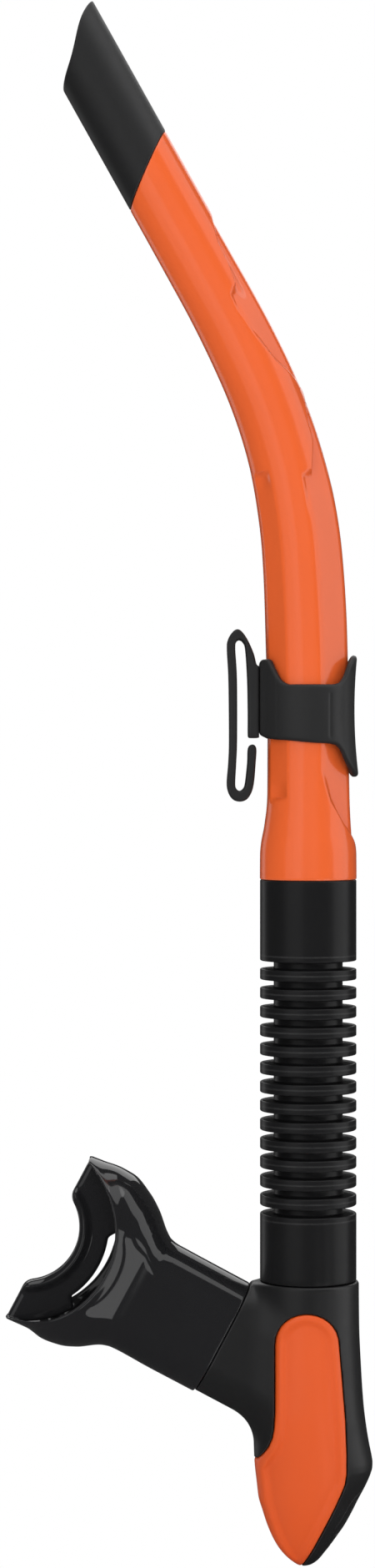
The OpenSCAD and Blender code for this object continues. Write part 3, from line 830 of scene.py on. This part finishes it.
def in_arm(x, z):
    """Distances along the mouthpiece arm and up its oval section."""
    dx, dz = x - ARM_AT[0], z - ARM_AT[1]
    out = dz * math.sin(ARM_ANGLE) - dx * math.cos(ARM_ANGLE)
    return out, dx * math.sin(ARM_ANGLE) + dz * math.cos(ARM_ANGLE)


def in_port(x, z):
    """Distances out of the exhaust port and along its oval."""
    dx, dz = x - PORT_AT[0], z - PORT_AT[1]
    out = dx * math.sin(PORT_ANGLE) + dz * math.cos(PORT_ANGLE)
    return out, dx * math.cos(PORT_ANGLE) - dz * math.sin(PORT_ANGLE)


def pod_field(x, y, z):
    """The drain pod: an ellipse at each height, from its pointed foot up to the shoulder."""
    right, left, depth = pod_right(z), pod_left(z), pod_depth(z)
    centre, half = (right + left) / 2, (right - left) / 2
    section = (np.hypot((x - centre) / half, y / depth) - 1) * np.minimum(half, depth)
    flare_slope = 0.92  # keeps the field near a true distance where the pod widens
    return np.maximum(section * flare_slope, POD_FOOT - z)


def housing_field(x, y, z):
    """The pod and the arm with their spigots, less the cover's pocket, the hollows and the port."""
    out, up = in_arm(x, z)
    port_out, port_along = in_port(x, z)
    from_hose = np.hypot(x, y)
    from_port = np.hypot(port_along, y)

    def within(along, span):
        return np.maximum(span[0] - along, along - span[1])

    arm = np.maximum(stadium(up, y, ARM_LENGTH, ARM_WIDTH), ARM_INNER - out)
    pod = pod_field(x, y, z)
    body = smooth_min(pod, arm, HOUSING_BLEND)
    body = smooth_max(smooth_max(body, z, SHOULDER_ROUND), out, ARM_END_ROUND)
    outline = outline_distance(COVER_OUTLINE, x, z)
    pocket = np.maximum(outline - COVER_GAP, -(pod + COVER_T + SLIP))
    body = smooth_max(body, -pocket, POCKET_ROUND)
    hose_spigot = np.maximum(from_hose - SPIGOT_R, within(z, (HOSE_SPIGOT_FOOT, HOUSING_SPIGOT)))
    arm_spigot = stadium(up, y, ARM_SPIGOT_LENGTH, ARM_SPIGOT_WIDTH)
    arm_spigot = np.maximum(arm_spigot, within(out, ARM_SPIGOT_SPAN))
    body = np.minimum(body, np.minimum(hose_spigot, arm_spigot))
    seat_wall = np.maximum(from_port - SEAT_R - WALL, within(port_out, SEAT_WALL_SPAN))
    hollow = np.maximum(pod + COVER_T + WALL, -seat_wall)
    throat = np.maximum(from_hose - THROAT_R, THROAT_FOOT - z)
    passage = np.maximum(stadium(up, y, PASSAGE_LENGTH, PASSAGE_WIDTH), PASSAGE_INNER - out)
    seat_hole = np.maximum(from_port - SEAT_R - GAP, within(port_out, SEAT_HOLE_SPAN))
    seam = 2 * GRILLE_GAP
    mouth = stadium(port_along, y, PORT_LENGTH + seam, PORT_WIDTH + seam)
    mouth = np.maximum(mouth, LEDGE - port_out)
    for cut in (hollow, throat, passage, seat_hole, mouth):
        body = np.maximum(body, -cut)
    return body


def cover_field(x, y, z):
    """A plate in the pod's surface, recessed inside its rim except at the keel on the mouth side."""
    pod = pod_field(x, y, z)
    outline = outline_distance(COVER_OUTLINE, x, z)
    from_keel = smoothstep((x - pod_left(z) - KEEL_OFFSET) / KEEL_FADE)
    face = pod + COVER_RECESS * smoothstep((-outline - COVER_RIM) / RECESS_FADE) * from_keel
    face = smooth_max(face, outline, COVER_EDGE_ROUND)
    return smooth_max(face, -(pod + COVER_T), COVER_BACK_ROUND)


def grille_field(x, y, z):
    """An oval plate in the pod's surface with four slots along it."""
    pod = pod_field(x, y, z)
    out, along = in_port(x, z)
    plate = np.maximum(pod, -(pod + GRILLE_T))
    body = smooth_max(plate, stadium(along, y, PORT_LENGTH, PORT_WIDTH), GRILLE_ROUND)
    body = np.maximum(body, LEDGE - out)
    for row in SLOT_ROWS:
        body = smooth_max(body, -stadium(along, y - row, SLOT_LENGTH, SLOT_WIDTH), SLOT_ROUND)
    return body


def build_housing():
    rows = (
        ("housing_shell", housing_field, [-45, -16.5, POD_FOOT - 1.2], [20.6, 16.5, 15], 0.42,
         housing_black, "valve_housing", "housing_black"),
        ("cover_shell", cover_field, [-17.5, -16.2, POD_FOOT - 1.2], [12.3, 16.2, -6.5], 0.4,
         cover_orange, "side_cover", "cover_orange"),
        ("grille_plate", grille_field, [0, -8, -82], [21, 8, -56], 0.3,
         housing_black, "vent_grille", "housing_black"))
    for name, field, low, high, cell, material, node, slot in rows:
        points, quads, normals = polygonise(field, low, high, cell)
        add_piece(name, points, quads, material, "mouth_unit", [node], normals)


# --- Mouthpiece -------------------------------------------------------------------------------------
# Curves along the mouthpiece, from its joint with the arm: upper edge, lower edge, width and wall
mouth_upper = curve((0, 17.9), (24, 18.0), (27, 18.5), (28.8, 19.6), (34.5, 24.6), (39.1, 27.6),
                    (46.4, 30.4), (49.9, 30.5), (56.1, 29.6), (62, 28.4), (66, 28))
mouth_lower = curve((0, -18.45), (15, -18.5), (25, -18.3), (28, -18.4), (30.5, -19.0), (37.4, -23.2),
                    (41.9, -25), (47.7, -25.8), (53.1, -25), (61.7, -24.8), (66, -24.6))
mouth_width = curve((0, 22.4), (25, 22.4), (32, 24.4), (40, 28.4), (45, 29.4), (50, 28.2), (56, 24.4),
                    (62, 20.6))
mouth_wall = curve((0, 2.4), (28, 2.4), (44, 1.5), (66, 1.2))
# The flange curves around the teeth, on a circle seen from the side
DENTAL_AT = (67.5, 1.5)
DENTAL_R = 27
FLANGE_REACH = 60.5
BITE_REACH = 60
BITE_INNER_R = 16
BITE_HALF = 1.9
BITE_INSET = 0.4  # how far inside the flange's outer face the arch stays
BITE_ROUND = 1.4
BITE_END_ROUND = 2.0
BITE_RIDGE = 1.5
BITE_RIDGE_R = 17.6
BITE_RIDGE_HALF = 1.5
BITE_OVERLAP = 1.4  # how far the arch's ends reach into the flange
BITE_NOTCH = 3.5  # how far its middle is drawn back from there
NOTCH_FOOT = (-14, 4)  # where each end of the notch starts, and its width
NOTCH_TOP = (9.5, 5)
SHELL_ROUND = 0.5
LIP_ROUND = 1.0
REACH_ROUND = 1.2
CURL = 0.8  # how far the flange's rim turns out
CURL_REACH = 2.2
SLEEVE_START = SLIP + 0.1
SLEEVE_LENGTH = 27
SLEEVE_CUT = 4.4  # how much narrower the sleeve's inside is than the arm


def mouthpiece_field(x, y, z):
    """A sleeve over the arm's spigot that opens into the flange, with the bite arch across it."""
    out, up = in_arm(x, z)
    upper, lower, width = mouth_upper(out), mouth_lower(out), mouth_width(out)
    centre = (upper + lower) / 2
    from_dental = np.hypot(out - DENTAL_AT[0], up - DENTAL_AT[1])
    curl = CURL * bell(from_dental, DENTAL_R, CURL_REACH)
    flare_slope = 0.93  # keeps the field near a true distance where the flange opens
    outer = stadium(up - centre, y, upper - lower, width) * flare_slope - curl
    lip = DENTAL_R - from_dental
    cavity = outer + mouth_wall(out)
    shell = smooth_max(smooth_max(outer, -cavity, SHELL_ROUND), lip, LIP_ROUND)
    shell = smooth_max(shell, SLEEVE_START - out, SHELL_ROUND)
    shell = smooth_max(shell, out - FLANGE_REACH, REACH_ROUND)
    # The bite arch is joined to the flange at its ends and stands clear of it between them
    below_top = 1 - smoothstep((up - NOTCH_TOP[0]) / NOTCH_TOP[1])
    open_side = below_top * smoothstep((up - NOTCH_FOOT[0]) / NOTCH_FOOT[1])
    bite_edge = DENTAL_R + BITE_OVERLAP - BITE_NOTCH * open_side
    ridge = BITE_RIDGE * bell(from_dental, BITE_RIDGE_R, BITE_RIDGE_HALF)
    bite = smooth_max(from_dental - bite_edge, BITE_INNER_R - from_dental, LIP_ROUND)
    bite = smooth_max(bite, np.abs(y) - BITE_HALF - ridge, BITE_ROUND)
    bite = smooth_max(bite, out - BITE_REACH, BITE_END_ROUND)
    bite = np.maximum(bite, outer + BITE_INSET)
    body = smooth_min(shell, bite, SHELL_ROUND)
    passage = stadium(up, y, ARM_LENGTH - SLEEVE_CUT, ARM_WIDTH - SLEEVE_CUT)
    return np.maximum(body, -np.maximum(passage, out - SLEEVE_LENGTH))


def build_mouthpiece():
    low = [-94, -18, -33]
    high = [-14, 18, 42]
    points, quads, normals = polygonise(mouthpiece_field, low, high, cell=0.45)
    add_piece("mouthpiece_soft", points, quads, mouth_black, "mouth_unit", ["mouthpiece"],
              normals)


# --- Carried-over CAD nodes -------------------------------------------------------------------------


def finish_cad_nodes():
    """Materials for the three nodes whose CAD shape is shown."""
    for node, material in (("keeper_pivot_pin", keeper_black), ("valve_seat", seat_grey),
                           ("exhaust_valve", valve_milky)):
        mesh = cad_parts[node].data
        mesh.materials.clear()
        mesh.materials.append(material)


# --- Studio -----------------------------------------------------------------------------------------
CAMERA_AT = (-36.2, -1000.0, 158.0)
VIEW_HEIGHT = 470.0
VIEW_CENTRE_Z = 148.75
LIGHT_CENTRE = np.array([-20.0, 0.0, 110.0])
ROOM_GREY = 0.2
ROOM_IN_REFLECTIONS = 0.3
# In metres: the floor's gap under the object, its half width, and where its fade to white starts and ends
FLOOR_DROP = 0.0005
FLOOR_HALF = 3.0
FLOOR_FADE = (0.02, 0.22)
FLOOR_GREY = 0.92


def build_camera():
    """A camera level with the snorkel's middle, looking along Y as the photo does."""
    data = bpy.data.cameras.new("camera")
    data.sensor_fit = "VERTICAL"
    data.sensor_height = 36
    data.lens = data.sensor_height * -CAMERA_AT[1] / VIEW_HEIGHT
    data.shift_y = (VIEW_CENTRE_Z - CAMERA_AT[2]) / VIEW_HEIGHT
    camera = bpy.data.objects.new("camera", data)
    camera.location = Vector(CAMERA_AT) * MM + Vector(AXIS)
    camera.rotation_euler = (math.pi / 2, 0, 0)
    bpy.context.scene.collection.objects.link(camera)
    bpy.context.scene.camera = camera


def softbox(name, azimuth, elevation, distance, width, height, radiance, glossy=True, diffuse=True):
    """An area light facing the object. Azimuth 0 is the camera's side and 90 is on the right."""
    data = bpy.data.lights.new(name, "AREA")
    data.shape = "RECTANGLE"
    data.size = width
    data.size_y = height
    data.energy = radiance * math.pi * width * height
    light = bpy.data.objects.new(name, data)
    turn, lift = math.radians(azimuth), math.radians(elevation)
    away = Vector((math.sin(turn) * math.cos(lift), -math.cos(turn) * math.cos(lift), math.sin(lift)))
    light.location = Vector(LIGHT_CENTRE * MM + AXIS) + away * distance
    light.rotation_euler = away.to_track_quat("Z", "Y").to_euler()
    light.visible_camera = False
    light.visible_glossy = glossy
    light.visible_diffuse = diffuse
    bpy.context.scene.collection.objects.link(light)


def build_lights():
    """Softboxes by azimuth, elevation, distance, width, height and radiance, in degrees and metres.

    The low cards stand under the floor, which mirror reflections pass through.
    """
    softbox("key_right", 84, 18, 1.1, 1.0, 2.0, 1.15, diffuse=False)
    softbox("side_right", 70, 10, 1.4, 1.2, 1.8, 0.9, glossy=False)
    softbox("fill_left", -36, 8, 1.3, 1.0, 1.2, 0.55)
    softbox("rim_left", -136, 6, 1.2, 0.4, 1.3, 0.6, diffuse=False)
    softbox("low_card_near", 24, -28, 1.2, 0.24, 0.5, 1.2)
    softbox("low_card_far", 47, -26, 1.2, 0.3, 0.6, 1.2)
    softbox("back_card", 178, 34, 1.5, 1.6, 0.95, 1.5)
    softbox("overhead", 10, 84, 1.1, 1.2, 1.2, 1.4)
    softbox("front_fill", -6, 12, 1.6, 1.8, 1.6, 1.98, glossy=False)
    softbox("back_fill", 176, 20, 1.7, 1.8, 1.6, 0.8, glossy=False)


def build_world():
    """A white backdrop for the camera that lights the object only as a dim grey room."""
    world = bpy.data.worlds.new("studio")
    bpy.context.scene.world = world
    world.use_nodes = True
    tree = world.node_tree
    background = tree.nodes["Background"]
    background.inputs["Color"].default_value = (ROOM_GREY, ROOM_GREY, ROOM_GREY, 1)
    seen = tree.nodes.new("ShaderNodeBackground")
    seen.inputs["Color"].default_value = (1, 1, 1, 1)
    mix = tree.nodes.new("ShaderNodeMixShader")
    ray = tree.nodes.new("ShaderNodeLightPath")
    dim = tree.nodes.new("ShaderNodeMapRange")
    dim.inputs["To Min"].default_value = 1.0
    dim.inputs["To Max"].default_value = ROOM_IN_REFLECTIONS
    tree.links.new(ray.outputs["Is Glossy Ray"], dim.inputs["Value"])
    tree.links.new(dim.outputs["Result"], background.inputs["Strength"])
    tree.links.new(ray.outputs["Is Camera Ray"], mix.inputs[0])
    tree.links.new(background.outputs[0], mix.inputs[1])
    tree.links.new(seen.outputs[0], mix.inputs[2])
    tree.links.new(mix.outputs[0], tree.nodes["World Output"].inputs["Surface"])
    bpy.context.scene.view_settings.view_transform = "Standard"


def build_floor():
    """A pale floor just under the object that fades to white away from it."""
    mesh = bpy.data.meshes.new("floor")
    floor_z = cad_bounds[0][2] - FLOOR_DROP
    signs = ((-1, -1), (1, -1), (1, 1), (-1, 1))
    corners = [(AXIS[0] + i * FLOOR_HALF, j * FLOOR_HALF, floor_z) for i, j in signs]
    mesh.from_pydata(corners, [], [(0, 1, 2, 3)])
    material = bpy.data.materials.new("floor_pale")
    material.use_nodes = True
    tree = material.node_tree
    shader = tree.nodes["Principled BSDF"]
    shader.inputs["Base Color"].default_value = (FLOOR_GREY, FLOOR_GREY, FLOOR_GREY, 1)
    shader.inputs["Roughness"].default_value = 0.9
    glow = tree.nodes.new("ShaderNodeEmission")
    distance = tree.nodes.new("ShaderNodeVectorMath")
    distance.operation = "LENGTH"
    tree.links.new(tree.nodes.new("ShaderNodeTexCoord").outputs["Object"], distance.inputs[0])
    fade = tree.nodes.new("ShaderNodeMapRange")
    fade.inputs["From Min"].default_value = FLOOR_FADE[0]
    fade.inputs["From Max"].default_value = FLOOR_FADE[1]
    tree.links.new(distance.outputs["Value"], fade.inputs["Value"])
    seen = tree.nodes.new("ShaderNodeMath")
    seen.operation = "MULTIPLY"
    tree.links.new(fade.outputs["Result"], seen.inputs[0])
    tree.links.new(tree.nodes.new("ShaderNodeLightPath").outputs["Is Camera Ray"], seen.inputs[1])
    mix = tree.nodes.new("ShaderNodeMixShader")
    tree.links.new(seen.outputs[0], mix.inputs[0])
    tree.links.new(shader.outputs[0], mix.inputs[1])
    tree.links.new(glow.outputs[0], mix.inputs[2])
    tree.links.new(mix.outputs[0], tree.nodes["Material Output"].inputs["Surface"])
    mesh.materials.append(material)
    floor = bpy.data.objects.new("floor", mesh)
    floor.visible_glossy = False
    bpy.context.scene.collection.objects.link(floor)


build_tube()
build_tip()
build_keeper()
build_hook()
build_hose()
build_housing()
build_mouthpiece()
finish_cad_nodes()
build_camera()
build_lights()
build_world()
build_floor()
